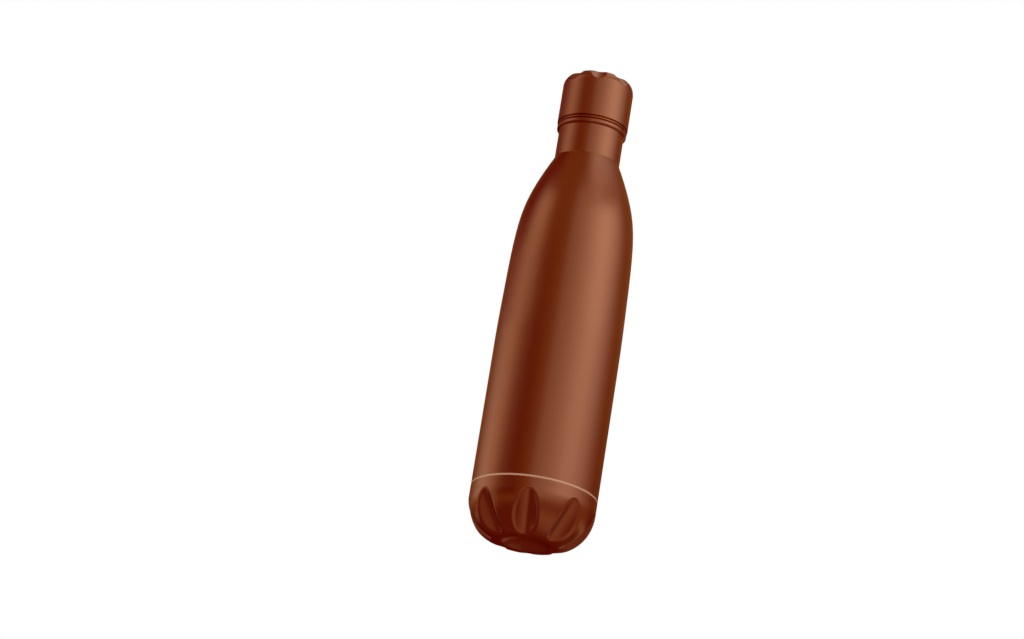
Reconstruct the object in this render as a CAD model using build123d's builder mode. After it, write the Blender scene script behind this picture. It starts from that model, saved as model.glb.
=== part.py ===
"""Vacuum-insulated water bottle with a fluted base, a long shoulder and a scalloped screw cap.

+Z runs up the axis, and the origin is on the ground at the middle of the foot ring. The first
flute of the base and the first scallop of the cap lie on the -Y side. The screw threads in the
neck and on the stopper are left off: the clearance between the two is kept for them.
"""

import os
from math import cos, radians, sin, sqrt, tan

from build123d import *

# ------------------------------------------------------------ driving dimensions, millimetres

# outer shell
body_radius = 40.0
shell_wall = 0.5
shoulder_height = 129.8  # from the top of the straight barrel to the crease under the neck
shoulder_form = ((0.31, 0.037), (0.555, 0.105), (0.743, 0.30))  # shares of its height and step
crease_angle = 26.0  # degrees between the shoulder's end and the axis
crease_rounding = 1.0
neck_inset = 1.9  # from the cap's side
neck_base_z = 257.8  # height of the crease
neck_height = 19.9

# fluted base
foot_inner_radius = 15.5
foot_outer_radius = 18.5
foot_rounding = 1.0
push_up_height = 4.0
corner_height = 24.4  # of the round corner between the foot and the barrel
base_wall = 0.8
flute_count = 8
flute_end_gap = 1.8  # from the foot ring to where the keel of a flute meets the ground
flute_height = 25.8  # where the keel of a flute leaves the barrel
flute_side_radius = 14.0  # of each of its two hollow sides, which meet in the keel
flute_side_offset = 4.8  # of the middle of a side's round from the plane of the keel
flute_keel_rounding = 5.0
flute_lip = 3.0

# accent band in the joint between the base and the shell
band_z = 32.5
band_height = 1.2
spigot_height = 3.2
spigot_lap = 1.6  # how far the spigot reaches down inside the base

# flask
jacket_gap = 3.0
neck_gap = 1.2
flask_wall = 0.5
flask_floor_gap = 3.3  # between the flask's floor and the getter under it
flask_corner = 14.0
flask_dome = 1.6

# plate that closes the vacuum jacket, with its pump hole, glass seal and getter
plate_wall = 0.6
plate_rim = 2.6
dimple_radius = 6.0
dimple_height = 1.4
pump_hole_radius = 1.2
seal_radius = 3.6
seal_thickness = 1.0
getter_radius = 4.0
getter_height = 2.0
getter_offset = 19.0
clip_sheet = 0.3
clip_width = 4.0
clip_foot = 3.0
clip_side_gap = 0.1

# copper foil round the flask
foil_thickness = 0.15
foil_margin = 6.0  # of the flask's straight wall left bare at each end

# mouth ring
bead_inset = 0.4  # from the cap's side
bead_rise = 0.8  # of the taper between the neck and the bead
bead_height = 2.6
bead_blend = 0.6
bead_rounding = 0.5
ring_spigot = 4.0
ring_lip = 0.9  # thickness of the lip over the flask's top edge

# cap
cap_gap = 0.2  # open joint between the mouth ring and the cap
cap_radius = 22.9
cap_height = 35.2
cap_wall = 0.5
cap_corner = 7.4
crown_rise = 0.5
hem_height = 0.9
hem_inset = 0.3
hem_chamfer = 0.4
hem_depth = 1.4
hem_groove_height = 1.0
hem_groove_depth = 0.6
ledge_thickness = 0.5
scallop_count = 8
scallop_low_radius = 7.5  # of the rounded floor, at its two ends
scallop_high_radius = 8.5
scallop_depth = 7.3  # of a scallop's lowest point on the side, under the edge of the crown
scallop_angle = 44.0  # degrees between the floor of a scallop and the axis
scallop_lip = 0.8
cap_clocking = 1.5  # degrees that the scallops are turned past the flutes

# stopper, with the plastic core that holds it in the cap
core_wall = 1.5
core_scallop_gap = 0.6
crown_pad_radius = 12.0
thread_clearance = 1.2  # between the stopper and the flask's neck, where both threads run
stopper_length = 24.0
stopper_wall = 1.6
flange_thickness = 2.5
gasket_width = 3.2
gasket_bore_gap = 0.2
disc_thickness = 1.6
disc_spigot = 1.5

# ------------------------------------------------------------ sizes that follow from them

neck_radius = cap_radius - neck_inset
bead_radius = cap_radius - bead_inset
flute_end_radius = foot_outer_radius + flute_end_gap
shell_bore = body_radius - shell_wall
neck_bore = neck_radius - shell_wall
neck_top_z = neck_base_z + neck_height
band_low_z = band_z - band_height / 2
band_high_z = band_z + band_height / 2
spigot_top_z = band_high_z + spigot_height
plate_top_z = spigot_top_z + plate_rim
dimple_top_z = plate_top_z + dimple_height

flask_radius = shell_bore - jacket_gap
flask_bore = flask_radius - flask_wall
flask_neck_radius = neck_bore - neck_gap
mouth_bore = flask_neck_radius - flask_wall
mouth_z = neck_top_z + bead_rise + bead_height
flask_top_z = mouth_z - ring_lip
flask_floor_z = plate_top_z + getter_height + clip_sheet + flask_floor_gap
flask_barrel_z = flask_floor_z + flask_corner
shoulder_start_z = neck_base_z - shoulder_height
flask_crease_z = neck_base_z - shell_wall - jacket_gap

cap_low_z = mouth_z + cap_gap
hem_top_z = cap_low_z + hem_height
cap_side_z = hem_top_z + hem_groove_height
flange_z = cap_side_z + ledge_thickness
flange_top_z = flange_z + flange_thickness
crown_edge_z = cap_low_z + cap_height - crown_rise
cap_bore = cap_radius - cap_wall
hem_bore = cap_radius - hem_inset - hem_depth
core_top_z = crown_edge_z - scallop_depth - core_scallop_gap
core_bore = cap_bore - core_wall
stopper_radius = mouth_bore - thread_clearance
stopper_bore = stopper_radius - stopper_wall
stopper_low_z = mouth_z - stopper_length
disc_top_z = stopper_low_z + disc_thickness
gasket_bore = stopper_radius + gasket_bore_gap

os.makedirs("parts", exist_ok=True)

# ------------------------------------------------------------ forms used by more than one piece


def bottle_side(radius, low_z, end_radius, crease_z, top_z):
    """Draw the side of a bottle in the line being built: barrel, shoulder curve and neck."""
    rise = crease_z - shoulder_start_z
    step = radius - end_radius
    curve_points = [(radius, shoulder_start_z)]
    for rise_share, step_share in shoulder_form:
        curve_points.append((radius - step * step_share, shoulder_start_z + rise * rise_share))
    curve_points.append((end_radius, crease_z))
    end_direction = (-sin(radians(crease_angle)), cos(radians(crease_angle)))
    Line((radius, low_z), curve_points[0])
    Spline(curve_points, tangents=((0, 1), end_direction))
    Line(curve_points[-1], (end_radius, top_z))


def cut_scoops(start, end, radii, growth, count, first_angle):
    """Cut a ring of scoops, each by a tapered bar along the right of the line from start to end.

    start and end are (radius, height) pairs, drawn with the bottle's axis on the left, and radii
    are the bar's at the two. growth makes the bars fatter about their own middle lines.
    """
    right = Vector(end[1] - start[1], 0, start[0] - end[0]).normalized()
    start_middle = Vector(start[0], 0, start[1]) + right * radii[0]
    end_middle = Vector(end[0], 0, end[1]) + right * radii[1]
    bar = end_middle - start_middle
    taper = (radii[1] - radii[0]) / bar.length
    bar_end = start_middle - bar.normalized() * radii[0]
    with PolarLocations(0, count, start_angle=first_angle):
        with Locations(Plane(origin=bar_end, x_dir=(0, 1, 0), z_dir=bar)):
            Cone(
                radii[0] * (1 - taper) + growth,
                radii[1] * (1 + taper) + growth,
                radii[0] + bar.length + radii[1],
                align=(Align.CENTER, Align.CENTER, Align.MIN),
                mode=Mode.SUBTRACT,
            )


def cut_flutes(growth):
    """Cut the flutes of the base, each by a straight bar with a keel, made fatter by growth."""
    side_radius = flute_side_radius + growth
    keel_depth = sqrt(flute_side_radius**2 - flute_side_offset**2)
    keel_low = Vector(flute_end_radius, 0, 0)
    keel_high = Vector(body_radius, 0, flute_height)
    keel = keel_high - keel_low
    outward = Vector(keel.Z, 0, -keel.X).normalized()
    middle = (keel_low + keel_high) * 0.5 + outward * keel_depth
    length = keel.length + 2 * flute_side_radius
    with BuildPart(mode=Mode.PRIVATE) as bar:
        with Locations((-flute_side_offset, 0, 0)):
            Cylinder(side_radius, length)
        with Locations((flute_side_offset, 0, 0)):
            Cylinder(side_radius, length, mode=Mode.INTERSECT)
        keel_edge = bar.edges().filter_by(GeomType.LINE).sort_by(Axis.Y)[-1]
        fillet(keel_edge, flute_keel_rounding + growth)
    with PolarLocations(0, flute_count, start_angle=-90):
        with Locations(Plane(origin=middle, x_dir=(0, 1, 0), z_dir=keel)):
            add(bar.part, mode=Mode.SUBTRACT)


def base_section(inset, top_z):
    """Half the section of the base as a solid without flutes, shrunk by inset below top_z."""
    side_radius = body_radius - inset
    with BuildSketch(Plane.XZ) as section:
        with BuildLine():
            push_up = TangentArc(
                (0, push_up_height + inset), (foot_inner_radius, inset), tangent=(1, 0)
            )
            foot = Line(push_up @ 1, (foot_outer_radius, inset))
            corner = EllipticalCenterArc(
                (foot_outer_radius, corner_height),
                side_radius - foot_outer_radius,
                corner_height - inset,
                start_angle=270,
                arc_size=90,
            )
            Polyline(corner @ 1, (side_radius, top_z), (0, top_z), push_up @ 0)
        make_face()
        fillet(section.vertices().sort_by_distance(push_up @ 1)[0], foot_rounding)
    return section.sketch


def cap_section(inset, low_z):
    """Half the section of the cap as a solid without scallops, shrunk by inset above low_z."""
    side_radius = cap_radius - inset
    with BuildSketch(Plane.XZ) as section:
        with BuildLine():
            crown = TangentArc(
                (0, crown_edge_z + crown_rise - inset),
                (side_radius, crown_edge_z - inset),
                tangent=(1, 0),
            )
            Polyline(crown @ 1, (side_radius, low_z), (0, low_z), crown @ 0)
        make_face()
        fillet(section.vertices().sort_by_distance(crown @ 1)[0], cap_corner - inset)
    return section.sketch


# ------------------------------------------------------------ bottle: shell, base and band

with BuildPart() as outer_shell:
    with BuildSketch(Plane.XZ):
        with BuildLine():
            bottle_side(body_radius, band_high_z, neck_radius, neck_base_z, neck_top_z)
            bottle_side(shell_bore, band_high_z, neck_bore, neck_base_z, neck_top_z)
            Line((body_radius, band_high_z), (shell_bore, band_high_z))
            Line((neck_radius, neck_top_z), (neck_bore, neck_top_z))
        make_face()
    revolve(axis=Axis.Z)
    creases = outer_shell.edges().filter_by(GeomType.CIRCLE)
    fillet(creases.filter_by_position(Axis.Z, neck_base_z, neck_base_z), crease_rounding)
outer_shell.part.label = "outer_shell"
export_step(outer_shell.part, "parts/outer_shell.step")

with BuildPart() as base_hollow:
    revolve(base_section(base_wall, band_high_z), axis=Axis.Z)
    cut_flutes(base_wall)

with BuildPart() as base_shell:
    revolve(base_section(0, band_low_z), axis=Axis.Z)
    cut_flutes(0)
    fillet(base_shell.edges(Select.LAST), flute_lip)
    add(base_hollow, mode=Mode.SUBTRACT)
    with BuildSketch(Plane.XY.offset(band_low_z - spigot_lap)):
        Circle(shell_bore)
        Circle(shell_bore - base_wall, mode=Mode.SUBTRACT)
    extrude(amount=spigot_top_z - band_low_z + spigot_lap)
base_shell.part.label = "base_shell"
export_step(base_shell.part, "parts/base_shell.step")

with BuildPart() as accent_band:
    with BuildSketch(Plane.XY.offset(band_low_z)):
        Circle(body_radius)
        Circle(shell_bore, mode=Mode.SUBTRACT)
    extrude(amount=band_height)
accent_band.part.label = "accent_band"
export_step(accent_band.part, "parts/accent_band.step")

# ------------------------------------------------------------ bottle: flask and mouth ring

with BuildPart() as inner_flask:
    with BuildSketch(Plane.XZ):
        with BuildLine():
            bottle_side(
                flask_radius, flask_barrel_z, flask_neck_radius, flask_crease_z, flask_top_z
            )
            bottle_side(flask_bore, flask_barrel_z, mouth_bore, flask_crease_z, flask_top_z)
            Line((flask_radius, flask_barrel_z), (flask_bore, flask_barrel_z))
            Line((flask_neck_radius, flask_top_z), (mouth_bore, flask_top_z))
        make_face()
    revolve(axis=Axis.Z)
inner_flask.part.label = "inner_flask"
export_step(inner_flask.part, "parts/inner_flask.step")

with BuildPart() as flask_bottom:
    with BuildSketch(Plane.XZ):
        with BuildLine():
            for inset in (0, flask_wall):
                floor = TangentArc(
                    (0, flask_floor_z + flask_dome + inset),
                    (flask_radius - flask_corner, flask_floor_z + inset),
                    tangent=(1, 0),
                )
                TangentArc(floor @ 1, (flask_radius - inset, flask_barrel_z), tangent=(1, 0))
            Line((0, flask_floor_z + flask_dome), (0, flask_floor_z + flask_dome + flask_wall))
            Line((flask_radius, flask_barrel_z), (flask_bore, flask_barrel_z))
        make_face()
    revolve(axis=Axis.Z)
flask_bottom.part.label = "flask_bottom"
export_step(flask_bottom.part, "parts/flask_bottom.step")

with BuildPart() as mouth_ring:
    with BuildSketch(Plane.XZ):
        with BuildLine():
            bead = FilletPolyline(
                (neck_radius, neck_top_z),
                (bead_radius, neck_top_z + bead_rise),
                (bead_radius, mouth_z),
                (mouth_bore, mouth_z),
                radius=(bead_blend, bead_rounding),
            )
            Polyline(
                bead @ 1,
                (mouth_bore, flask_top_z),
                (flask_neck_radius, flask_top_z),
                (flask_neck_radius, neck_top_z - ring_spigot),
                (neck_bore, neck_top_z - ring_spigot),
                (neck_bore, neck_top_z),
                bead @ 0,
            )
        make_face()
    revolve(axis=Axis.Z)
mouth_ring.part.label = "mouth_ring"
export_step(mouth_ring.part, "parts/mouth_ring.step")

# ------------------------------------------------------------ vacuum jacket, closed from below

with BuildPart() as jacket_plate:
    with BuildSketch(Plane.XY.offset(spigot_top_z)):
        Circle(shell_bore)
    extrude(amount=plate_rim)
    with BuildSketch(Plane.XY.offset(spigot_top_z)):
        Circle(shell_bore - plate_wall)
    extrude(amount=plate_rim - plate_wall, mode=Mode.SUBTRACT)
    with BuildSketch(Plane.XY.offset(plate_top_z)):
        Circle(dimple_radius)
    extrude(amount=dimple_height)
    with BuildSketch(Plane.XY.offset(plate_top_z - plate_wall)):
        Circle(dimple_radius - plate_wall)
    extrude(amount=dimple_height, mode=Mode.SUBTRACT)
    with Locations((0, 0, dimple_top_z)):
        Hole(pump_hole_radius)
jacket_plate.part.label = "jacket_plate"
export_step(jacket_plate.part, "parts/jacket_plate.step")

with BuildPart() as vacuum_seal:
    with BuildSketch(Plane.XY.offset(dimple_top_z - plate_wall - seal_thickness)):
        Circle(seal_radius)
    extrude(amount=seal_thickness)
    fillet(vacuum_seal.edges().group_by(Axis.Z)[0], seal_thickness / 2)
    with BuildSketch(Plane.XY.offset(dimple_top_z - plate_wall)):
        Circle(pump_hole_radius)
    extrude(amount=plate_wall)
vacuum_seal.part.label = "vacuum_seal"
export_step(vacuum_seal.part, "parts/vacuum_seal.step")

with BuildPart() as getter:
    with BuildSketch(Plane.XY.offset(plate_top_z)):
        with Locations((getter_offset, 0)):
            Circle(getter_radius)
    extrude(amount=getter_height)
getter.part.label = "getter"
export_step(getter.part, "parts/getter.step")

with BuildPart() as getter_clip:
    clip_half = getter_radius + clip_side_gap
    with BuildSketch(Plane.XZ):
        with BuildLine():
            Polyline(
                (getter_offset - clip_half - clip_foot, plate_top_z),
                (getter_offset - clip_half, plate_top_z),
                (getter_offset - clip_half, plate_top_z + getter_height),
                (getter_offset + clip_half, plate_top_z + getter_height),
                (getter_offset + clip_half, plate_top_z),
                (getter_offset + clip_half + clip_foot, plate_top_z),
            )
            offset(amount=clip_sheet, side=Side.LEFT, kind=Kind.INTERSECTION)
        make_face()
    extrude(amount=clip_width / 2, both=True)
getter_clip.part.label = "getter_clip"
export_step(getter_clip.part, "parts/getter_clip.step")

with BuildPart() as copper_foil:
    with BuildSketch(Plane.XY.offset(flask_barrel_z + foil_margin)):
        Circle(flask_radius + foil_thickness)
        Circle(flask_radius, mode=Mode.SUBTRACT)
    extrude(amount=shoulder_start_z - flask_barrel_z - 2 * foil_margin)
copper_foil.part.label = "copper_foil"
export_step(copper_foil.part, "parts/copper_foil.step")

# ------------------------------------------------------------ cap and its core

scallop_rise = scallop_depth * tan(radians(scallop_angle))
scallop_floor = (
    (cap_radius, crown_edge_z - scallop_depth),
    (cap_radius - scallop_rise, crown_edge_z),
)
scallop_radii = (scallop_low_radius, scallop_high_radius)

with BuildPart() as cap_hollow:
    revolve(cap_section(cap_wall, flange_z), axis=Axis.Z)
    cut_scoops(*scallop_floor, scallop_radii, cap_wall, scallop_count, cap_clocking - 90)

with BuildPart() as cap_shell:
    revolve(cap_section(0, cap_side_z), axis=Axis.Z)
    cut_scoops(*scallop_floor, scallop_radii, 0, scallop_count, cap_clocking - 90)
    fillet(cap_shell.edges(Select.LAST), scallop_lip)
    add(cap_hollow, mode=Mode.SUBTRACT)
    with BuildSketch(Plane.XZ) as hem_section:
        hem_radius = cap_radius - hem_inset
        groove_radius = cap_radius - hem_groove_depth
        with BuildLine():
            Polyline(
                (hem_bore, cap_low_z),
                (hem_radius - hem_chamfer, cap_low_z),
                (hem_radius, cap_low_z + hem_chamfer),
                (hem_radius, hem_top_z),
                (groove_radius, hem_top_z),
                (groove_radius, flange_z),
                (hem_bore, flange_z),
                (hem_bore, cap_low_z),
            )
        make_face()
    revolve(axis=Axis.Z)
    with BuildSketch(Plane.XY.offset(cap_low_z)):
        Circle(hem_bore)
    extrude(amount=flange_z - cap_low_z, mode=Mode.SUBTRACT)
cap_shell.part.label = "cap_shell"
export_step(cap_shell.part, "parts/cap_shell.step")

with BuildPart() as cap_core:
    with BuildSketch(Plane.XY.offset(flange_top_z)):
        Circle(cap_bore)
    extrude(amount=core_top_z - flange_top_z)
    with BuildSketch(Plane.XY.offset(flange_top_z)):
        Circle(core_bore)
    extrude(amount=core_top_z - flange_top_z - core_wall, mode=Mode.SUBTRACT)
    with BuildSketch(Plane.XY.offset(core_top_z)):
        Circle(crown_pad_radius)
    extrude(amount=crown_edge_z - cap_wall - core_top_z)
cap_core.part.label = "cap_core"
export_step(cap_core.part, "parts/cap_core.step")

# ------------------------------------------------------------ stopper and its gasket

with BuildPart() as stopper_body:
    with BuildSketch(Plane.XY.offset(flange_z)):
        Circle(cap_bore)
    extrude(amount=flange_thickness)
    with BuildSketch(Plane.XY.offset(disc_top_z)):
        Circle(stopper_radius)
    extrude(amount=flange_z - disc_top_z)
    with BuildSketch(Plane.XY.offset(disc_top_z)):
        Circle(stopper_bore)
    extrude(amount=flange_z - disc_top_z, mode=Mode.SUBTRACT)
stopper_body.part.label = "stopper_body"
export_step(stopper_body.part, "parts/stopper_body.step")

with BuildPart() as stopper_disc:
    with BuildSketch(Plane.XY.offset(stopper_low_z)):
        Circle(stopper_radius)
    extrude(amount=disc_thickness)
    fillet(stopper_disc.edges().group_by(Axis.Z)[0], disc_thickness / 2)
    with BuildSketch(Plane.XY.offset(disc_top_z)):
        Circle(stopper_bore)
    extrude(amount=disc_spigot)
stopper_disc.part.label = "stopper_disc"
export_step(stopper_disc.part, "parts/stopper_disc.step")

with BuildPart() as stopper_foam:
    with BuildSketch(Plane.XY.offset(disc_top_z + disc_spigot)):
        Circle(stopper_bore)
    extrude(amount=flange_z - disc_top_z - disc_spigot)
stopper_foam.part.label = "stopper_foam"
export_step(stopper_foam.part, "parts/stopper_foam.step")

with BuildPart() as mouth_gasket:
    with BuildSketch(Plane.XY.offset(mouth_z)):
        Circle(gasket_bore + gasket_width)
        Circle(gasket_bore, mode=Mode.SUBTRACT)
    extrude(amount=flange_z - mouth_z)
mouth_gasket.part.label = "mouth_gasket"
export_step(mouth_gasket.part, "parts/mouth_gasket.step")
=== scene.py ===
"""Finishes, threads and studio of a vacuum water bottle with a satin copper coat.

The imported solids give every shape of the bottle, its cap and its gasket. This script gives each
of them its finish, adds the screw threads, the sealing ribs, the weld bead and the ring under
the stopper, and sets the bottle on a pale floor in soft studio light.
"""

import logging
import math
from collections.abc import Callable
from dataclasses import dataclass, field
from enum import Enum
from typing import ClassVar

import bmesh
import bpy
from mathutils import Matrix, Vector


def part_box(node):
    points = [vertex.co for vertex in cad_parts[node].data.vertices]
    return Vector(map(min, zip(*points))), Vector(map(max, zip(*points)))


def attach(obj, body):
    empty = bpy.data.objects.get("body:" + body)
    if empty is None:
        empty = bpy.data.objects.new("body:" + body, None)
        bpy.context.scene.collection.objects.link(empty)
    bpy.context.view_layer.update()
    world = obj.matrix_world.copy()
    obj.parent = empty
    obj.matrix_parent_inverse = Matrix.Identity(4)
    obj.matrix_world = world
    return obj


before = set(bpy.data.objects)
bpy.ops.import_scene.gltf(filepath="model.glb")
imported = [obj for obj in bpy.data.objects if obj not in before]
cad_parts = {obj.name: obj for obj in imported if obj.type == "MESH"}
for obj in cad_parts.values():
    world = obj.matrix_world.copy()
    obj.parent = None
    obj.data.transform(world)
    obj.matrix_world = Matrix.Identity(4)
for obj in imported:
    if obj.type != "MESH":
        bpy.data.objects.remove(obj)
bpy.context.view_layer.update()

MM = 0.001

Colour = tuple[float, float, float]
Place = tuple[float, float, float]
Angles = tuple[float, float, float]
Span = tuple[float, float]

# The two ways that a ramp runs, and the values between which most of a noise lies.
RISE: Span = (0.0, 1.0)
FALL: Span = (1.0, 0.0)
NOISE_MIDDLE: Span = (0.3, 0.7)

log = logging.getLogger("bottle")


class Body(Enum):
    """The bodies that the pieces ride on."""

    BOTTLE = "bottle"
    GASKET = "gasket"
    CAP = "cap"


class Slot(Enum):
    """The record's material slots."""

    COPPER_COAT = "copper_coat"
    GOLD_TRIM = "gold_trim"
    BARE_STEEL = "bare_steel"
    COPPER_FOIL = "copper_foil"
    GETTER_METAL = "getter_metal"
    SEAL_GLASS = "seal_glass"
    SILICONE = "silicone"
    BLACK_PLASTIC = "black_plastic"
    FOAM = "foam"


class Stretch(Enum):
    """How a noise pattern is drawn out, as scales along x, y and z."""

    EVEN = (1.0, 1.0, 1.0)
    DRAWN = (1.0, 1.0, 0.06)
    TURNED = (0.04, 0.04, 1.0)


@dataclass(frozen=True)
class Grain:
    """A noise pattern, with its scale in patches to the metre.

    The detail is its number of finer steps, and the shift moves it, so that two patterns differ.
    """

    scale: float
    stretch: Stretch = Stretch.EVEN
    detail: float = 3.0
    shift: float = 0.0


@dataclass(frozen=True)
class Relief:
    """How far a pattern stands out, in metres, and the share of it that is used."""

    depth: float
    strength: float


def tone(colour: Colour, factor: float) -> Colour:
    """Returns a colour made lighter or darker by a factor."""
    return tuple(min(1.0, part * factor) for part in colour)


# ---------------------------------------------------------------- node trees


class Graph:
    """A material's node tree, with short ways to add nodes and link them.

    A Mix node has sockets for every kind of value, and these are the numbers of its colours.
    """

    MIX_COLOURS: ClassVar[tuple[int, int]] = (6, 7)
    MIX_RESULT: ClassVar[int] = 2

    def __init__(self, name: str) -> None:
        """Makes the material and clears its tree.

        Args:
            name: The material's name.
        """
        self.material = bpy.data.materials.new(name)
        self.material.use_nodes = True
        self.tree = self.material.node_tree
        self.tree.nodes.clear()
        self.output = self.add("ShaderNodeOutputMaterial")

    def add(self, kind: str, inputs: dict[str | int, object] | None = None,
            **settings: object) -> bpy.types.Node:
        """Adds a node.

        Args:
            kind: The node's type name.
            inputs: Socket name or number to a value, or to an output socket to link.
            **settings: The node's own properties.

        Returns:
            The new node.
        """
        node = self.tree.nodes.new(kind)
        for name, value in settings.items():
            setattr(node, name, value)
        for name, value in (inputs or {}).items():
            if isinstance(value, bpy.types.NodeSocket):
                self.tree.links.new(value, node.inputs[name])
            else:
                node.inputs[name].default_value = value
        return node

    def math(self, operation: str, *values: object) -> bpy.types.NodeSocket:
        """Adds a Math node on numbers or sockets, and returns its result."""
        return self.add("ShaderNodeMath", dict(enumerate(values)), operation=operation).outputs[0]

    def place(self) -> bpy.types.NodeSocket:
        """Returns the Object coordinates."""
        return self.add("ShaderNodeTexCoord").outputs["Object"]

    def height(self) -> bpy.types.NodeSocket:
        """Returns the height in Object coordinates."""
        return self.add("ShaderNodeSeparateXYZ", {0: self.place()}).outputs["Z"]

    def level(self) -> bpy.types.NodeSocket:
        """Returns the Object coordinates with the height left out."""
        return self.add("ShaderNodeVectorMath", {0: self.place(), 1: (1.0, 1.0, 0.0)},
                        operation="MULTIPLY").outputs[0]

    def length(self, vector: bpy.types.NodeSocket) -> bpy.types.NodeSocket:
        """Returns the length of a vector."""
        return self.add("ShaderNodeVectorMath", {0: vector}, operation="LENGTH").outputs["Value"]

    def noise(self, grain: Grain) -> bpy.types.NodeSocket:
        """Adds noise on the Object coordinates.

        Args:
            grain: The noise pattern.

        Returns:
            The noise, about 0.5 in the middle.
        """
        mapped = self.add("ShaderNodeMapping", {
            "Vector": self.place(), "Location": (grain.shift,) * 3,
            "Scale": grain.stretch.value})
        return self.add("ShaderNodeTexNoise", {
            "Vector": mapped.outputs[0], "Scale": grain.scale,
            "Detail": grain.detail}).outputs[0]

    def ramp(self, source: bpy.types.NodeSocket, numbers: Span,
             over: Span = NOISE_MIDDLE) -> bpy.types.NodeSocket:
        """Maps a pattern softly onto a range of numbers.

        Args:
            source: The pattern.
            numbers: The numbers at both ends of the range.
            over: The pattern's values that they stand for.

        Returns:
            The mapped number.
        """
        return self.add("ShaderNodeMapRange", {
            "Value": source, "From Min": over[0], "From Max": over[1],
            "To Min": numbers[0], "To Max": numbers[1]}, interpolation_type="SMOOTHSTEP").outputs[0]

    def blend(self, share: bpy.types.NodeSocket, first: object,
              second: object) -> bpy.types.NodeSocket:
        """Mixes two colours.

        Args:
            share: The second colour's share.
            first: A colour or a colour socket.
            second: A colour or a colour socket.

        Returns:
            The mixed colour.
        """
        node = self.tree.nodes.new("ShaderNodeMix")
        node.data_type = "RGBA"
        self.tree.links.new(share, node.inputs["Factor"])
        for number, value in zip(self.MIX_COLOURS, (first, second)):
            if isinstance(value, bpy.types.NodeSocket):
                self.tree.links.new(value, node.inputs[number])
            else:
                node.inputs[number].default_value = (*value, 1.0)
        return node.outputs[self.MIX_RESULT]

    def shades(self, pattern: bpy.types.NodeSocket, colour: Colour,
               tones: Span) -> bpy.types.NodeSocket:
        """Lets a colour drift between two tones of itself.

        Args:
            pattern: The pattern that it follows.
            colour: The colour.
            tones: The factors for the darker and the lighter tone.

        Returns:
            The drifting colour.
        """
        dark, light = (tone(colour, factor) for factor in tones)
        return self.blend(self.ramp(pattern, RISE), dark, light)

    def bump(self, pattern: bpy.types.NodeSocket, relief: Relief,
             below: bpy.types.NodeSocket | None = None) -> bpy.types.NodeSocket:
        """Adds a Bump node.

        Args:
            pattern: The pattern.
            relief: How far it stands out.
            below: A normal that this one adds to.

        Returns:
            The bumped normal.
        """
        inputs = {"Height": pattern, "Distance": relief.depth, "Strength": relief.strength}
        if below is not None:
            inputs["Normal"] = below
        return self.add("ShaderNodeBump", inputs).outputs[0]

    def finish(self, **inputs: object) -> bpy.types.Material:
        """Adds the Principled shader and ends the tree with it.

        Args:
            **inputs: Its sockets, with _ for a space in their names.

        Returns:
            The material.
        """
        sockets = {name.replace("_", " "): value for name, value in inputs.items()}
        shader = self.add("ShaderNodeBsdfPrincipled", sockets)
        self.tree.links.new(shader.outputs[0], self.output.inputs["Surface"])
        return self.material


# ---------------------------------------------------------------- finishes


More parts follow.
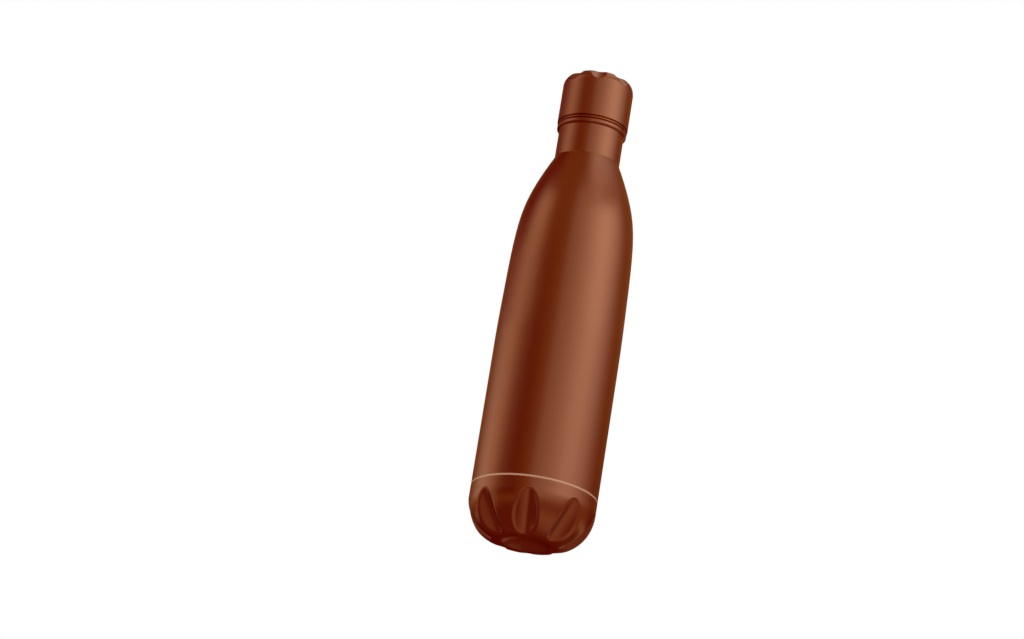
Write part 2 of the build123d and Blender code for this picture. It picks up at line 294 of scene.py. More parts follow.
@dataclass(frozen=True)
class CopperCoat:
    """Satin metallic lacquer: copper flakes under a clear coat.

    It is rubbed thin on the foot. The groove round the cap and the seam between the cap and the
    mouth
    ring carry painted shade: a dark red colour with the clear coat left off. The groove and the
    seam are heights above the cap's hem. The top row is the shoulder's last stretch, as heights
    from the crease under the neck, and the top slopes are its normal's angles at both ends. The
    outer side is the radius past which a point on that row lies on the shell's outer face.
    """

    colour: Colour = (0.50, 0.178, 0.087)
    tones: Span = (0.95, 1.05)
    drift: Grain = Grain(14.0, Stretch.DRAWN, 2.0)
    flakes: Grain = Grain(2600.0, detail=1.0)
    flake_tone: float = 1.3
    flake_share: float = 0.35
    rubbed: Colour = (0.60, 0.36, 0.24)
    rubs: Grain = Grain(220.0, detail=4.0)
    rub_edge: Span = (0.42, 0.62)
    foot_height: float = 0.2 * MM
    # Painted shade: the dark red that the groove and the seam are coloured, standing in for their
    # shade.
    groove_shade_colour: Colour = (0.38, 0.045, 0.006)
    shade_edge: float = 0.15 * MM
    groove: Span = (0.9 * MM, 2.0 * MM)
    seam: Span = (-0.8 * MM, 0.1 * MM)
    roughness: Span = (0.28, 0.32)
    handling: Grain = Grain(38.0, Stretch.DRAWN, 4.0, 3.0)
    peel: Grain = Grain(420.0, detail=2.0)
    peel_relief: Relief = Relief(0.02 * MM, 0.35)
    clear_roughness: float = 0.22
    clear_ior: float = 1.5
    neck_height: float = 19.9 * MM
    top_row: Span = (-6.01 * MM, -0.21 * MM)
    top_slopes: Span = (25.21, 25.6)
    outer_side: float = 20.9 * MM

    def recess_shade(self, graph: Graph, heights: Span) -> bpy.types.NodeSocket:
        """Finds a recess whose shade is painted into the coat's colour.

        Args:
            graph: The finish's node tree.
            heights: The recess's lowest and highest point above the cap's hem.

        Returns:
            1 in the recess, falling to 0 over its edges.
        """
        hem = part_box("cap_shell")[0].z
        bottom, top = (hem + height for height in heights)
        return graph.math("MULTIPLY",
                          graph.ramp(graph.height(), RISE, (bottom - self.shade_edge, bottom)),
                          graph.ramp(graph.height(), FALL, (top, top + self.shade_edge)))

    def smooth_normal(self, graph: Graph) -> bpy.types.NodeSocket:
        """Works out the normal on the top row of the shoulder from the point itself.

        Slivers beside the neck tip the shell's own normals there, which shows as dark patches.

        Args:
            graph: The finish's node tree.

        Returns:
            The worked-out normal on that row, and the mesh's own normal everywhere else.
        """
        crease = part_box("outer_shell")[1].z - self.neck_height
        low, high = (crease + height for height in self.top_row)
        start, end = (math.tan(math.radians(slope)) for slope in self.top_slopes)
        level, height = graph.level(), graph.height()
        reach = graph.length(level)
        slope = graph.add("ShaderNodeMapRange", {
            "Value": height, "From Min": low, "From Max": high,
            "To Min": start, "To Max": end}).outputs[0]
        lift = graph.add("ShaderNodeCombineXYZ", {"Z": graph.math("MULTIPLY", reach, slope)})
        own = graph.add("ShaderNodeVectorMath", {0: level, 1: lift.outputs[0]}, operation="ADD")
        turned = graph.add("ShaderNodeVectorTransform", {0: own.outputs[0]},
                           vector_type="NORMAL", convert_from="OBJECT", convert_to="WORLD")
        on_row = graph.math("MULTIPLY", graph.math("GREATER_THAN", height, low),
                            graph.math("LESS_THAN", height, high))
        outside = graph.math("GREATER_THAN", reach, self.outer_side)
        mesh = graph.add("ShaderNodeNewGeometry").outputs["Normal"]
        return graph.blend(graph.math("MULTIPLY", on_row, outside), mesh, turned.outputs[0])

    def material(self) -> bpy.types.Material:
        """Mixes the lacquer, with painted shade in the groove and the seam.

        Returns:
            The finish as a material.
        """
        graph = Graph("copper_coat")
        # Painted shade in the groove and the seam: a dark red colour, and no clear coat there.
        painted_shade = graph.math("ADD", self.recess_shade(graph, self.groove), self.recess_shade(graph, self.seam))
        smooth = self.smooth_normal(graph)
        flaked = graph.ramp(graph.noise(self.flakes), (0.0, self.flake_share))
        coat = graph.shades(graph.noise(self.drift), self.colour, self.tones)
        coat = graph.blend(flaked, coat, tone(self.colour, self.flake_tone))
        coat = graph.blend(painted_shade, coat, self.groove_shade_colour)
        low = graph.ramp(graph.height(), FALL, (0.0, self.foot_height))
        patchy = graph.ramp(graph.noise(self.rubs), RISE, self.rub_edge)
        return graph.finish(
            Base_Color=graph.blend(graph.math("MULTIPLY", low, patchy), coat, self.rubbed),
            Metallic=1.0, Roughness=graph.ramp(graph.noise(self.handling), self.roughness),
            Normal=graph.bump(graph.noise(self.peel), self.peel_relief, smooth),
            Coat_Weight=graph.math("SUBTRACT", 1.0, painted_shade), Coat_Roughness=self.clear_roughness,
            Coat_IOR=self.clear_ior, Coat_Normal=smooth)


@dataclass(frozen=True)
class GoldTrim:
    """Pale gold paint with a little metal in it, laid on round the bottle."""

    colour: Colour = (0.64, 0.37, 0.215)
    tones: Span = (0.96, 1.04)
    strokes: Grain = Grain(900.0, Stretch.TURNED, 2.0)
    stroke_relief: Relief = Relief(0.01 * MM, 0.3)
    metal_share: float = 0.35
    roughness: Span = (0.36, 0.44)
    cloud: Grain = Grain(300.0)

    def material(self) -> bpy.types.Material:
        """Mixes the paint.

        Returns:
            The finish as a material.
        """
        graph = Graph("gold_trim")
        strokes = graph.noise(self.strokes)
        return graph.finish(
            Base_Color=graph.shades(strokes, self.colour, self.tones),
            Metallic=self.metal_share,
            Roughness=graph.ramp(graph.noise(self.cloud), self.roughness),
            Normal=graph.bump(strokes, self.stroke_relief))


@dataclass(frozen=True)
class TurnedSteel:
    """Bare stainless steel, turned or brushed round the bottle's axis."""

    colour: Colour = (0.62, 0.61, 0.59)
    tones: Span = (0.94, 1.04)
    cloud: Grain = Grain(30.0)
    lines: Grain = Grain(1500.0, Stretch.TURNED)
    line_relief: Relief = Relief(0.015 * MM, 0.4)
    roughness: Span = (0.24, 0.36)

    def material(self) -> bpy.types.Material:
        """Turns the steel.

        Returns:
            The finish as a material.
        """
        graph = Graph("bare_steel")
        lines = graph.noise(self.lines)
        return graph.finish(
            Base_Color=graph.shades(graph.noise(self.cloud), self.colour, self.tones),
            Metallic=1.0, Roughness=graph.ramp(lines, self.roughness),
            Normal=graph.bump(lines, self.line_relief))


@dataclass(frozen=True)
class CrinkledFoil:
    """Thin bright copper foil, with the creases of being wrapped by hand, and painted shade along
    them.
    """

    colour: Colour = (0.80, 0.42, 0.28)
    # Painted shade: how much darker the creases are drawn.
    crease_shade_tone: float = 0.85
    crease_scale: float = 90.0
    crease_edge: Span = (0.0, 0.12)
    crease_relief: Relief = Relief(0.15 * MM, 0.5)
    roughness: Span = (0.32, 0.18)

    def material(self) -> bpy.types.Material:
        """Crinkles the foil.

        Returns:
            The finish as a material.
        """
        graph = Graph("copper_foil")
        creases = graph.add("ShaderNodeTexVoronoi", {
            "Vector": graph.place(), "Scale": self.crease_scale},
            feature="DISTANCE_TO_EDGE").outputs[0]
        fold = graph.ramp(creases, RISE, self.crease_edge)
        return graph.finish(
            Base_Color=graph.blend(fold, tone(self.colour, self.crease_shade_tone), self.colour),
            Metallic=1.0, Roughness=graph.ramp(fold, self.roughness, RISE),
            Normal=graph.bump(fold, self.crease_relief))


@dataclass(frozen=True)
class SinteredMetal:
    """Dark pressed powder, as a getter is made of."""

    colour: Colour = (0.16, 0.15, 0.15)
    tones: Span = (0.7, 1.4)
    grains: Grain = Grain(3000.0, detail=4.0)
    grain_relief: Relief = Relief(0.06 * MM, 0.7)
    metal_share: float = 0.6
    roughness: Span = (0.62, 0.8)

    def material(self) -> bpy.types.Material:
        """Presses the powder.

        Returns:
            The finish as a material.
        """
        graph = Graph("getter_metal")
        grains = graph.noise(self.grains)
        return graph.finish(
            Base_Color=graph.shades(grains, self.colour, self.tones),
            Metallic=self.metal_share, Roughness=graph.ramp(grains, self.roughness),
            Normal=graph.bump(grains, self.grain_relief))


@dataclass(frozen=True)
class FusedGlass:
    """A blue-grey bead of solder glass with fine bubbles."""

    colour: Colour = (0.30, 0.36, 0.40)
    tones: Span = (1.0, 1.25)
    bubbles: Grain = Grain(1800.0)
    bubble_relief: Relief = Relief(0.04 * MM, 0.3)
    roughness: Span = (0.08, 0.2)
    clearness: float = 0.5
    ior: float = 1.52

    def material(self) -> bpy.types.Material:
        """Fuses the glass.

        Returns:
            The finish as a material.
        """
        graph = Graph("seal_glass")
        bubbles = graph.noise(self.bubbles)
        return graph.finish(
            Base_Color=graph.shades(bubbles, self.colour, self.tones),
            Roughness=graph.ramp(bubbles, self.roughness),
            Transmission_Weight=self.clearness, IOR=self.ior,
            Normal=graph.bump(bubbles, self.bubble_relief))


@dataclass(frozen=True)
class MilkySilicone:
    """Food-grade silicone: soft, milky, faintly cloudy."""

    colour: Colour = (0.72, 0.70, 0.66)
    tones: Span = (0.95, 1.05)
    cloud: Grain = Grain(120.0)
    skin: Grain = Grain(2400.0, detail=2.0)
    skin_relief: Relief = Relief(0.02 * MM, 0.4)
    roughness: Span = (0.46, 0.58)
    milkiness: float = 0.2
    light_reach: Colour = (1.5 * MM, 1.2 * MM, 1.0 * MM)

    def material(self) -> bpy.types.Material:
        """Mixes the silicone.

        Returns:
            The finish as a material.
        """
        graph = Graph("silicone")
        skin = graph.noise(self.skin)
        return graph.finish(
            Base_Color=graph.shades(graph.noise(self.cloud), self.colour, self.tones),
            Roughness=graph.ramp(skin, self.roughness), Subsurface_Weight=self.milkiness,
            Subsurface_Radius=self.light_reach, Subsurface_Scale=1.0,
            Normal=graph.bump(skin, self.skin_relief))


@dataclass(frozen=True)
class MouldedPlastic:
    """Black polypropylene with the fine spark-eroded grain of its mould."""

    colour: Colour = (0.035, 0.033, 0.032)
    tones: Span = (0.8, 1.25)
    flow: Grain = Grain(45.0, detail=2.0)
    mould_grain: Grain = Grain(1700.0)
    grain_relief: Relief = Relief(0.03 * MM, 0.5)
    roughness: Span = (0.40, 0.54)

    def material(self) -> bpy.types.Material:
        """Moulds the plastic.

        Returns:
            The finish as a material.
        """
        graph = Graph("black_plastic")
        grain = graph.noise(self.mould_grain)
        return graph.finish(
            Base_Color=graph.shades(graph.noise(self.flow), self.colour, self.tones),
            Roughness=graph.ramp(grain, self.roughness),
            Normal=graph.bump(grain, self.grain_relief))


@dataclass(frozen=True)
class ExpandedFoam:
    """Cream insulating foam with small closed cells, and painted shade between the cells."""

    colour: Colour = (0.82, 0.79, 0.70)
    # Painted shade: how much darker the foam is drawn in the hollows between the cells' domes.
    cell_edge_shade: float = 0.86
    cell_scale: float = 700.0
    cell_radius: float = 0.7
    cell_relief: Relief = Relief(0.3 * MM, 0.6)
    roughness: Span = (0.95, 0.8)

    def material(self) -> bpy.types.Material:
        """Foams the filling.

        Returns:
            The finish as a material.
        """
        graph = Graph("foam")
        cells = graph.add("ShaderNodeTexVoronoi", {
            "Vector": graph.place(), "Scale": self.cell_scale}).outputs["Distance"]
        dome = graph.ramp(cells, FALL, (0.0, self.cell_radius))
        return graph.finish(
            Base_Color=graph.blend(dome, tone(self.colour, self.cell_edge_shade), self.colour),
            Roughness=graph.ramp(dome, self.roughness, RISE),
            Normal=graph.bump(dome, self.cell_relief))


class FinishShelf:
    """Every finish of the bottle, made once and handed out by slot."""

    MAKERS: ClassVar[dict[Slot, type]] = {
        Slot.COPPER_COAT: CopperCoat, Slot.GOLD_TRIM: GoldTrim, Slot.BARE_STEEL: TurnedSteel,
        Slot.COPPER_FOIL: CrinkledFoil, Slot.GETTER_METAL: SinteredMetal,
        Slot.SEAL_GLASS: FusedGlass, Slot.SILICONE: MilkySilicone,
        Slot.BLACK_PLASTIC: MouldedPlastic, Slot.FOAM: ExpandedFoam,
    }

    def __init__(self) -> None:
        """Makes every material."""
        self.materials: dict[Slot, bpy.types.Material] = {
            slot: maker().material() for slot, maker in self.MAKERS.items()}

    def dress(self, piece: bpy.types.Object, slot: Slot) -> None:
        """Gives a mesh one finish, in place of what it had."""
        piece.data.materials.clear()
        piece.data.materials.append(self.materials[slot])

    def dress_node(self, name: str, slot: Slot) -> None:
        """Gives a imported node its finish."""
        self.dress(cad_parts[name], slot)
        log.info("node %s in %s", name, slot.value)

    def finish_piece(self, piece: bpy.types.Object, name: str, body: Body, slot: Slot) -> None:
        """Names a modelled piece, gives it its finish and lets it ride.

        Args:
            piece: The modelled mesh.
            name: The piece's name.
            body: The body that it moves with.
            slot: Its finish.
        """
        piece.name = piece.data.name = name
        self.dress(piece, slot)
        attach(piece, body.value)
        log.info("piece %s on %s in %s", name, body.value, slot.value)


# ---------------------------------------------------------------- modelling by hand


def deselect_all() -> None:
    """Leaves nothing selected and nothing active."""
    bpy.ops.object.select_all(action="DESELECT")
    bpy.context.view_layer.objects.active = None


def pick(piece: bpy.types.Object, wanted: Callable[[Vector], bool]) -> None:
    """Selects vertices of a piece in edit mode by their place, and no others.

    Args:
        piece: The piece being edited.
        wanted: Tells from a vertex's place whether it is picked.
    """
    bpy.ops.mesh.select_mode(type="VERT")
    mesh = bmesh.from_edit_mesh(piece.data)
    for vertex in mesh.verts:
        vertex.select_set(wanted(vertex.co))
    mesh.select_flush_mode()
    bmesh.update_edit_mesh(piece.data)


@dataclass
class ThreadRidge:
    """One start of a screw thread: a blunt ridge that winds up a round wall and fades out."""

    CORNERS: ClassVar[int] = 4

    wall_radius: float
    crest_radius: float
    start_height: float
    turns: float
    start_angle: float
    lead: float = 10.0 * MM
    root_width: float = 2.1 * MM
    crest_width: float = 0.9 * MM
    steps_per_turn: int = 72
    fade_steps: int = 9
    sink: float = 0.15 * MM
    tip_share: float = 0.04

    @property
    def root(self) -> float:
        """The radius of the ridge's root, a little inside the wall."""
        return self.wall_radius - math.copysign(self.sink, self.crest_radius - self.wall_radius)

    @property
    def steps(self) -> int:
        """The number of steps that the ridge winds through."""
        return round(self.turns * self.steps_per_turn)

    def model(self) -> bpy.types.Object:
        """Models the ridge.

        Returns:
            The ridge as an object at the origin.
        """
        deselect_all()
        bpy.ops.mesh.primitive_plane_add(size=1.0)
        piece = bpy.context.object
        bpy.ops.object.mode_set(mode="EDIT")
        bpy.ops.transform.rotate(value=math.pi / 2, orient_axis="X", center_override=(0, 0, 0))
        bpy.ops.transform.resize(value=(abs(self.crest_radius - self.root), 1.0, self.root_width))
        bpy.ops.transform.translate(
            value=((self.crest_radius + self.root) / 2, 0.0, self.start_height))
        pick(piece, lambda spot: abs(spot.x - self.crest_radius) < abs(spot.x - self.root))
        bpy.ops.transform.resize(value=(1.0, 1.0, self.crest_width / self.root_width))
        bpy.ops.mesh.select_all(action="SELECT")
        bpy.ops.transform.rotate(value=-self.start_angle, orient_axis="Z",
                                 center_override=(0, 0, 0))
        bpy.ops.object.mode_set(mode="OBJECT")
        winding = piece.modifiers.new("winding", "SCREW")
        winding.angle = math.tau * self.turns
        winding.screw_offset = self.lead * self.turns
        winding.steps = winding.render_steps = self.steps
        winding.use_normal_calculate = True
        bpy.ops.object.modifier_apply(modifier=winding.name)
        self.close(piece)
        return piece

    def close(self, piece: bpy.types.Object) -> None:
        """Fades both ends of the ridge into the wall, and closes it.

        Args:
            piece: The wound ridge.
        """
        bpy.ops.object.mode_set(mode="EDIT")
        for step in range(self.fade_steps):
            share = max(self.tip_share, math.sin(math.pi / 2 * step / self.fade_steps))
            for section in (step, self.steps - step):
                self.shrink(piece, section / self.steps_per_turn, share)
        bpy.ops.mesh.select_all(action="SELECT")
        bpy.ops.mesh.fill_holes(sides=self.CORNERS)
        bpy.ops.mesh.select_all(action="SELECT")
        bpy.ops.mesh.normals_make_consistent(inside=False)
        bpy.ops.object.mode_set(mode="OBJECT")

    def shrink(self, piece: bpy.types.Object, turned: float, share: float) -> None:
        """Shrinks one section of the ridge towards its root.

        Args:
            piece: The wound ridge, in edit mode.
            turned: How far along the ridge the section is, in turns.
            share: The share of its size that is left.
        """
        angle = self.start_angle + math.tau * turned
        height = self.start_height + self.lead * turned
        half_step = math.pi / self.steps_per_turn

        def here(spot: Vector) -> bool:
            """Tells whether a place is on the section."""
            aside = math.remainder(math.atan2(spot.y, spot.x) - angle, math.tau)
            return abs(aside) < half_step and abs(spot.z - height) < self.lead / 2

        pick(piece, here)
        bpy.ops.transform.resize(value=(share,) * 3, center_override=(
            self.root * math.cos(angle), self.root * math.sin(angle), height))


@dataclass
class RingBead:
    """A fine raised ring round a wall: a weld bead or a moulded sealing rib."""

    radius: float
    height: float
    thickness: float
    steps: int = 128
    sides: int = 10
    merge_distance: float = 0.001 * MM

    def model(self) -> bpy.types.Object:
        """Models the ring.

        Returns:
            The ring as an object at the origin.
        """
        deselect_all()
        bpy.ops.mesh.primitive_circle_add(
            vertices=self.sides, radius=self.thickness / 2,
            location=(self.radius, 0.0, self.height), rotation=(math.pi / 2, 0.0, 0.0))
        piece = bpy.context.object
        bpy.ops.object.transform_apply(location=True, rotation=True, scale=True)
        bpy.ops.object.mode_set(mode="EDIT")
        bpy.ops.mesh.select_all(action="SELECT")
        bpy.ops.mesh.spin(steps=self.steps, angle=math.tau, center=(0.0, 0.0, 0.0),
                          axis=(0.0, 0.0, 1.0))
        bpy.ops.mesh.select_all(action="SELECT")
        bpy.ops.mesh.remove_doubles(threshold=self.merge_distance)
        bpy.ops.mesh.normals_make_consistent(inside=False)
        bpy.ops.object.mode_set(mode="OBJECT")
        bpy.ops.object.shade_smooth()
        return piece


# ---------------------------------------------------------------- sub-assemblies


@dataclass(frozen=True)
class NeckFit:
    """How the stopper fits in the neck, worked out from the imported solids.

    The gap between the two walls is the room that both threads share.
    """

    mouth: float = field(default_factory=lambda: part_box("mouth_ring")[1].z)
    stopper_radius: float = field(default_factory=lambda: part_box("stopper_disc")[1].x)
    gap: float = 1.2 * MM
    thread_clearance: float = 0.25 * MM
    turns: float = 1.25
    starts: int = 2

    @property
    def bore(self) -> float:
        """The radius of the neck's bore."""
        return self.stopper_radius + self.gap

    def thread(self, wall: float, crest: float, drop: float) -> list[ThreadRidge]:
        """Sets out every start of a thread.

        Args:
            wall: The radius of the wall that it stands on.
            crest: The radius of its crest.
            drop: How far below the mouth it starts.

        Returns:
            A ridge for each start, evenly turned from each other.
        """
        return [ThreadRidge(wall, crest, self.mouth - drop, self.turns,
                            math.tau * start / self.starts) for start in range(self.starts)]


@dataclass
class SubAssembly:
    """A sub-assembly of the bottle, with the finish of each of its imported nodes."""

    FINISHES: ClassVar[dict[str, Slot]] = {}

    shelf: FinishShelf

    def dress(self) -> None:
        """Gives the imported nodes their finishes."""
        for name, slot in self.FINISHES.items():
            self.shelf.dress_node(name, slot)

    def build(self) -> None:
        """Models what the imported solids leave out, where there is anything."""


@dataclass
class OuterBody(SubAssembly):
    """The copper-coated outside: shell, fluted base, accent band and mouth ring."""

    FINISHES: ClassVar[dict[str, Slot]] = {
        "outer_shell": Slot.COPPER_COAT, "base_shell": Slot.COPPER_COAT,
        "mouth_ring": Slot.COPPER_COAT, "accent_band": Slot.GOLD_TRIM}


@dataclass
class VacuumFlask(SubAssembly):
    """The steel flask in the shell, its thread, and what keeps the vacuum."""

    FINISHES: ClassVar[dict[str, Slot]] = {
        "inner_flask": Slot.BARE_STEEL, "flask_bottom": Slot.BARE_STEEL,
        "jacket_plate": Slot.BARE_STEEL, "getter_clip": Slot.BARE_STEEL,
        "vacuum_seal": Slot.SEAL_GLASS, "getter": Slot.GETTER_METAL,
        "copper_foil": Slot.COPPER_FOIL}

    fit: NeckFit
    thread_drop: float = 19.1 * MM
    weld_thickness: float = 0.8 * MM

    def build(self) -> None:
        """Models the thread in the neck, and the weld between the flask and its bottom."""
        crest = self.fit.stopper_radius + self.fit.thread_clearance
        for number, ridge in enumerate(self.fit.thread(self.fit.bore, crest, self.thread_drop), 1):
            self.shelf.finish_piece(
                ridge.model(), f"neck_thread_{number}", Body.BOTTLE, Slot.BARE_STEEL)
        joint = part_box("flask_bottom")[1]
        weld = RingBead(joint.x, joint.z, self.weld_thickness)
        self.shelf.finish_piece(weld.model(), "flask_weld", Body.BOTTLE, Slot.BARE_STEEL)


@dataclass
class ScrewCap(SubAssembly):
    """The scalloped cap with its core and its insulated, threaded stopper."""

    FINISHES: ClassVar[dict[str, Slot]] = {
        "cap_shell": Slot.COPPER_COAT, "cap_core": Slot.BLACK_PLASTIC,
        "stopper_body": Slot.BLACK_PLASTIC, "stopper_disc": Slot.BLACK_PLASTIC,
        "stopper_foam": Slot.FOAM}

    fit: NeckFit
    thread_drop: float = 16.6 * MM
    ring_inset: float = 4.5 * MM
    ring_thickness: float = 0.8 * MM

    def build(self) -> None:
        """Models the thread on the stopper, and the moulded ring under it."""
        wall = self.fit.stopper_radius
        crest = self.fit.bore - self.fit.thread_clearance
        for number, ridge in enumerate(self.fit.thread(wall, crest, self.thread_drop), 1):
            self.shelf.finish_piece(
                ridge.model(), f"stopper_thread_{number}", Body.CAP, Slot.BLACK_PLASTIC)
        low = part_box("stopper_disc")[0].z
        ring = RingBead(wall - self.ring_inset, low, self.ring_thickness)
        self.shelf.finish_piece(ring.model(), "stopper_ring", Body.CAP, Slot.BLACK_PLASTIC)


@dataclass
class MouthSeal(SubAssembly):
    """The silicone gasket between the cap's flange and the mouth, with its sealing ribs."""

    FINISHES: ClassVar[dict[str, Slot]] = {"mouth_gasket": Slot.SILICONE}

    rib_thickness: float = 0.5 * MM
    rib_insets: tuple[float, ...] = (1.0 * MM, 2.1 * MM)

    def build(self) -> None:
        """Models the ribs that press on the mouth."""
        low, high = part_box("mouth_gasket")
        for number, inset in enumerate(self.rib_insets, 1):
            rib = RingBead(high.x - inset, low.z, self.rib_thickness)
            self.shelf.finish_piece(
                rib.model(), f"gasket_rib_{number}", Body.GASKET, Slot.SILICONE)


# ---------------------------------------------------------------- studio


@dataclass(frozen=True)
class SoftPanel:
    """A soft-edged area of light on the tent.

    Its azimuth and its low and high edges are compass and height angles in degrees, seen from
    the bottle: -90 is the front and 0 the right. The side edge and the height edge are the
    widths over which it fades.
    """

    name: str
    azimuth: float
    half_width: float
    low: float
    high: float
    light: Colour
    side_edge: float
    height_edge: float


@dataclass
class LightTent:
    """The cloth tent round the bottle, which only its gloss sees: pale panels on a dark lining.

    A panel lies over the ones before it.
    """

    radius: float = 12.0
    segments: int = 64
    rings: int = 32
    lining: Colour = (0.25, 0.08, 0.02)
    panels: tuple[SoftPanel, ...] = (
        SoftPanel("low_glow", -85.0, 181.0, -91.0, -18.0, (0.17, 0.023, 0.011), 5.0, 8.0),
        SoftPanel("front_cloth", -61.0, 33.0, -4.0, 56.0, (0.385, 0.28, 0.205), 18.0, 12.0),
        SoftPanel("right_softbox", -24.0, 28.0, 15.0, 42.0, (0.89, 0.885, 0.81), 68.0, 6.0),
        SoftPanel("left_softbox", 178.0, 27.0, 6.0, 44.0, (0.81, 0.71, 0.515), 48.0, 7.0),
        SoftPanel("overhead", 19.0, 80.0, 56.0, 80.0, (0.65, 0.58, 0.50), 60.0, 37.0),
        SoftPanel("table_bounce", -22.0, 82.0, -80.0, -30.0, (0.32, 0.16, 0.085), 70.0, 50.0),
        SoftPanel("back_curtain", 79.0, 43.0, -40.0, 17.0, (0.14, 0.012, 0.0), 11.0, 6.0),
        SoftPanel("back_left_curtain", 118.0, 26.0, -24.0, 0.0, (0.095, 0.0, 0.0), 13.0, 6.0),
        SoftPanel("front_left_curtain", -142.0, 26.0, -1.0, 21.0, (0.15, 0.007, 0.0), 22.0, 6.0),
        SoftPanel("left_strip", 189.0, 15.0, -22.0, 15.0, (0.34, 0.19, 0.115), 4.0, 18.0),
        SoftPanel("high_left_curtain", 150.0, 33.0, 20.0, 58.0, (0.16, 0.005, 0.0), 60.0, 5.0),
        SoftPanel("back_right_bounce", 50.0, 30.0, -19.0, -9.0, (0.42, 0.24, 0.13), 24.0, 6.0),
        SoftPanel("back_left_bounce", 158.0, 22.0, -19.0, -9.0, (0.42, 0.24, 0.13), 24.0, 6.0),
    )

    def build(self) -> None:
        """Puts the tent up."""
        deselect_all()
        bpy.ops.mesh.primitive_uv_sphere_add(
            segments=self.segments, ring_count=self.rings, radius=self.radius)
        tent = bpy.context.object
        tent.name = tent.data.name = "light_tent"
        bpy.ops.object.shade_smooth()
        tent.visible_camera = tent.visible_diffuse = tent.visible_shadow = False
        tent.visible_transmission = tent.visible_volume_scatter = False
        tent.data.materials.append(self.material())
        log.info("light tent with %s", ", ".join(panel.name for panel in self.panels))

    def material(self) -> bpy.types.Material:
        """Mixes the tent's glow from its lining and its panels.

        Returns:
            The glow as a material.
        """
        graph = Graph("tent_cloth")
        climb = graph.math("ARCSINE", graph.math("DIVIDE", graph.height(), self.radius))
        glow = self.lining
        for panel in self.panels:
            glow = graph.blend(self.cover(graph, climb, panel), glow, panel.light)
        emission = graph.add("ShaderNodeEmission", {"Color": glow})
        graph.tree.links.new(emission.outputs[0], graph.output.inputs["Surface"])
        graph.material.cycles.emission_sampling = "NONE"
        return graph.material

    @staticmethod
    def cover(graph: Graph, climb: bpy.types.NodeSocket,
              panel: SoftPanel) -> bpy.types.NodeSocket:
        """Works out where a panel covers the tent.

        Args:
            graph: The tent's node tree.
            climb: The height angle of a point on the tent, in radians.
            panel: The panel.

        Returns:
            1 on the panel, falling to 0 over its soft edges.
        """
        turned = graph.add("ShaderNodeMapping", {
            "Vector": graph.place(), "Rotation": (0.0, 0.0, -math.radians(panel.azimuth))})
        flat = graph.add("ShaderNodeSeparateXYZ", {0: turned.outputs[0]}).outputs
        aside = graph.math("ABSOLUTE", graph.math("ARCTAN2", flat["Y"], flat["X"]))
        soft = math.radians(panel.side_edge / 2)
        rise = math.radians(panel.height_edge / 2)
        width, low, high = (
            math.radians(angle) for angle in (panel.half_width, panel.low, panel.high))
        within = graph.ramp(aside, FALL, (width - soft, width + soft))
        above = graph.ramp(climb, RISE, (low - rise, low + rise))
        below = graph.ramp(climb, FALL, (high - rise, high + rise))
        return graph.math("MULTIPLY", within, graph.math("MULTIPLY", above, below))


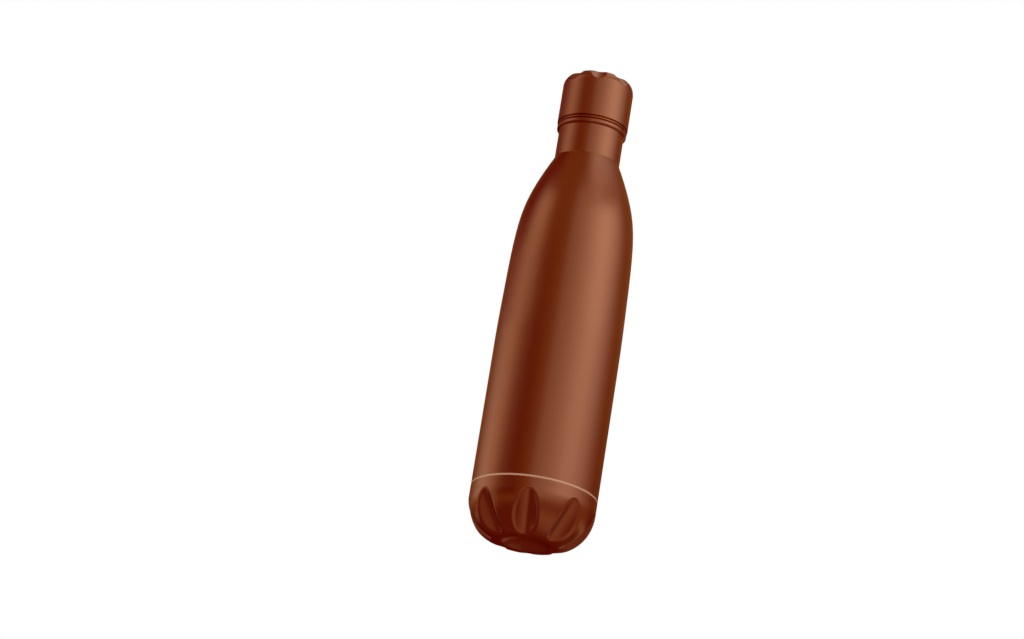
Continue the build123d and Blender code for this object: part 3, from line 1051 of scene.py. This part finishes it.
@dataclass
class Studio:
    """The pale floor, the white surroundings, the light and the camera."""

    floor_colour: Colour = (0.78, 0.77, 0.76)
    floor_radius: float = 3.0
    floor_sides: int = 96
    floor_gap: float = 0.05 * MM
    floor_fade: Span = (0.9, 2.6)
    room_colour: Colour = (1.0, 1.0, 1.0)
    lamp_power: float = 6.0
    lamp_size: float = 1.6
    lamp_place: Place = (1.1, -1.3, 2.2)
    camera_place: Place = (0.1927, -2.13268, -0.60606)
    camera_turn: Angles = (109.5578, -8.7881, 2.8933)
    camera_lens: float = 125.72
    camera_sensor: float = 36.0

    def build(self) -> None:
        """Sets up the whole studio."""
        self.surroundings()
        LightTent().build()
        self.floor()
        self.lamp()
        self.camera()

    def surroundings(self) -> None:
        """Makes everything round the set plain white."""
        world = bpy.data.worlds.new("white_room")
        bpy.context.scene.world = world
        world.use_nodes = True
        tree = world.node_tree
        tree.nodes.clear()
        white = tree.nodes.new("ShaderNodeBackground")
        white.inputs["Color"].default_value = (*self.room_colour, 1.0)
        output = tree.nodes.new("ShaderNodeOutputWorld")
        tree.links.new(white.outputs[0], output.inputs["Surface"])
        world.cycles.sampling_method = "NONE"

    def floor(self) -> None:
        """Lays a pale round floor that fades into the white and can't be seen from below."""
        deselect_all()
        bpy.ops.mesh.primitive_circle_add(
            vertices=self.floor_sides, radius=self.floor_radius, fill_type="NGON",
            location=(0.0, 0.0, -self.floor_gap))
        floor = bpy.context.object
        floor.name = floor.data.name = "studio_floor"
        floor.visible_glossy = False
        graph = Graph("floor_paper")
        faded = graph.ramp(graph.length(graph.place()), RISE, self.floor_fade)
        back = graph.add("ShaderNodeNewGeometry").outputs["Backfacing"]
        paper = graph.add("ShaderNodeBsdfDiffuse", {"Color": (*self.floor_colour, 1.0)})
        clear = graph.add("ShaderNodeBsdfTransparent")
        surface = graph.add("ShaderNodeMixShader", {
            0: graph.math("MAXIMUM", faded, back), 1: paper.outputs[0], 2: clear.outputs[0]})
        graph.tree.links.new(surface.outputs[0], graph.output.inputs["Surface"])
        floor.data.materials.append(graph.material)
        log.info("floor")

    def lamp(self) -> None:
        """Hangs a soft lamp that throws the bottle's shadow but isn't mirrored in it."""
        deselect_all()
        bpy.ops.object.light_add(type="AREA", location=self.lamp_place)
        lamp = bpy.context.object
        lamp.name = lamp.data.name = "soft_lamp"
        lamp.data.energy = self.lamp_power
        lamp.data.size = self.lamp_size
        lamp.rotation_euler = (-Vector(self.lamp_place)).to_track_quat("-Z", "Y").to_euler()
        lamp.visible_camera = lamp.visible_glossy = False
        log.info("lamp")

    def camera(self) -> None:
        """Sets up the camera, a little below the bottle and tilted."""
        turn = tuple(math.radians(angle) for angle in self.camera_turn)
        bpy.ops.object.camera_add(location=self.camera_place, rotation=turn)
        camera = bpy.context.object
        camera.data.lens = self.camera_lens
        camera.data.sensor_width = self.camera_sensor
        bpy.context.scene.camera = camera
        bpy.context.scene.view_settings.view_transform = "Standard"
        log.info("camera")


def main() -> None:
    """Builds the bottle's looks and its studio."""
    logging.basicConfig(level=logging.INFO, format="%(name)s: %(message)s")
    shelf = FinishShelf()
    fit = NeckFit()
    for part in (OuterBody(shelf), VacuumFlask(shelf, fit), ScrewCap(shelf, fit), MouthSeal(shelf)):
        part.dress()
        part.build()
    Studio().build()
    log.info("sizes written")


if __name__ == "__main__":
    main()
